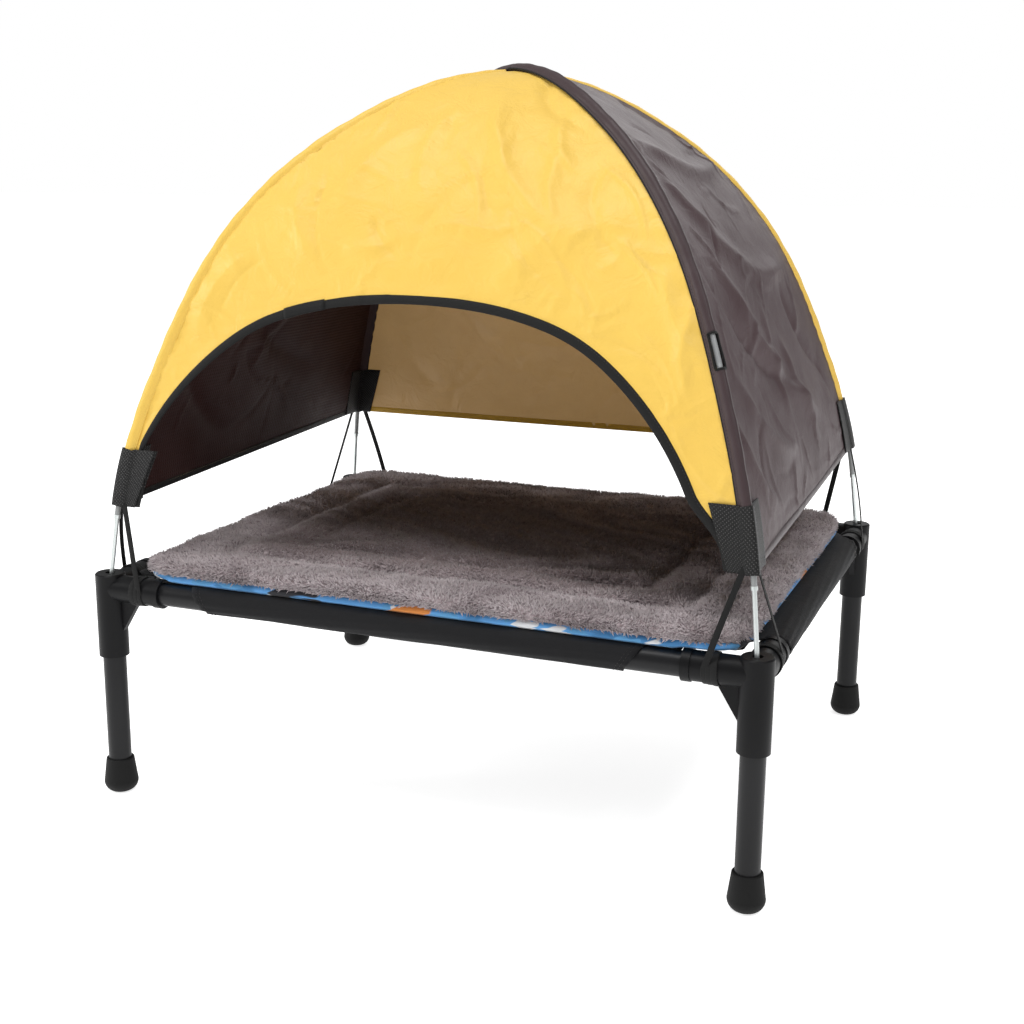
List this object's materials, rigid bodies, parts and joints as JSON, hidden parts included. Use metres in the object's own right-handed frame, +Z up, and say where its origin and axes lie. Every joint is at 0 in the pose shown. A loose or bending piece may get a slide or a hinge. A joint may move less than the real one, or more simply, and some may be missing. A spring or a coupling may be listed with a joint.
{
  "type": "raised dog bed with canopy",
  "caption": "Raised dog bed: a fabric sling on a tube frame with plastic corner connectors, a plush mat, and a dome canopy on two crossed bow poles.",
  "frame": {"origin": "on the floor under the middle of the bed", "axes": "+X to the right along the long side, +Y to the back, +Z up; the canopy's arched doorway faces -Y"},
  "size_m": [0.766, 0.614, 0.81],
  "materials": {
    "connector_plastic": "satin moulded black",
    "powder_coat": "satin black powder coat",
    "foot_rubber": "matt black",
    "sling_fabric": "black woven",
    "printed_cover": "printed blue weave",
    "filling": "white fibre filling",
    "plush": "mauve grey long pile",
    "pole_fibre": "grey glass fibre",
    "zinc_steel": "zinc plated",
    "shock_cord": "white braided elastic",
    "yellow_fabric": "yellow plain weave",
    "brown_fabric": "dark brown plain weave",
    "seam_fabric": "dark brown plain weave",
    "binding": "black tape",
    "ochre_hem": "yellow folded hem",
    "webbing": "black coarse webbing",
    "elastic": "black flat elastic"
  },
  "bodies": {
    "frame": {"bed_sling": "sling_fabric", "connector_bl": "connector_plastic", "connector_br": "connector_plastic", "connector_fl": "connector_plastic", "connector_fr": "connector_plastic", "rail_back": "powder_coat", "rail_front": "powder_coat", "rail_left": "powder_coat", "rail_right": "powder_coat"},
    "mat": {"mat_filling": "filling", "mat_plush": "plush", "mat_underside": "printed_cover"},
    "canopy": {"arch_binding": "binding", "canopy_back": "yellow_fabric", "canopy_front": "yellow_fabric", "canopy_left": "brown_fabric", "canopy_right": "brown_fabric", "elastic_bl": "elastic", "elastic_br": "elastic", "elastic_fl": "elastic", "elastic_fr": "elastic", "hem_back": "ochre_hem", "hem_left": "binding", "hem_right": "binding", "pole_a_ferrules": "zinc_steel", "pole_a_section_1": "pole_fibre", "pole_a_section_2": "pole_fibre", "pole_a_section_3": "pole_fibre", "pole_a_section_4": "pole_fibre", "pole_a_section_5": "pole_fibre", "pole_a_shock_cord": "shock_cord", "pole_b_ferrules": "zinc_steel", "pole_b_section_1": "pole_fibre", "pole_b_section_2": "pole_fibre", "pole_b_section_3": "pole_fibre", "pole_b_section_4": "pole_fibre", "pole_b_section_5": "pole_fibre", "pole_b_shock_cord": "shock_cord", "pole_sleeve_bl": "seam_fabric", "pole_sleeve_br": "seam_fabric", "pole_sleeve_fl": "seam_fabric", "pole_sleeve_fr": "seam_fabric", "tab_bl": "webbing", "tab_br": "webbing", "tab_fl": "webbing", "tab_fr": "webbing", "tip_bl": "zinc_steel", "tip_br": "zinc_steel", "tip_fl": "zinc_steel", "tip_fr": "zinc_steel"},
    "leg_fl": {"foot_fl": "foot_rubber", "leg_fl": "powder_coat"},
    "leg_fr": {"foot_fr": "foot_rubber", "leg_fr": "powder_coat"},
    "leg_bl": {"foot_bl": "foot_rubber", "leg_bl": "powder_coat"},
    "leg_br": {"foot_br": "foot_rubber", "leg_br": "powder_coat"}
  },
  "joints": [
    {"name": "canopy_lift", "type": "slide", "parent": "frame", "child": "canopy", "axis": [0, 0, 1], "range_m": [0, 0.05], "deforming": ["elastic_fl", "elastic_fr", "elastic_bl", "elastic_br"]},
    {"name": "mat_lift", "type": "slide", "parent": "frame", "child": "mat", "axis": [0, 0, 1], "range_m": [0, 0.05]},
    {"name": "leg_fl_pull", "type": "slide", "parent": "frame", "child": "leg_fl", "axis": [0, 0, -1], "range_m": [0, 0.06]},
    {"name": "leg_fr_pull", "type": "slide", "parent": "frame", "child": "leg_fr", "axis": [0, 0, -1], "range_m": [0, 0.06]},
    {"name": "leg_bl_pull", "type": "slide", "parent": "frame", "child": "leg_bl", "axis": [0, 0, -1], "range_m": [0, 0.06]},
    {"name": "leg_br_pull", "type": "slide", "parent": "frame", "child": "leg_br", "axis": [0, 0, -1], "range_m": [0, 0.06]}
  ]
}
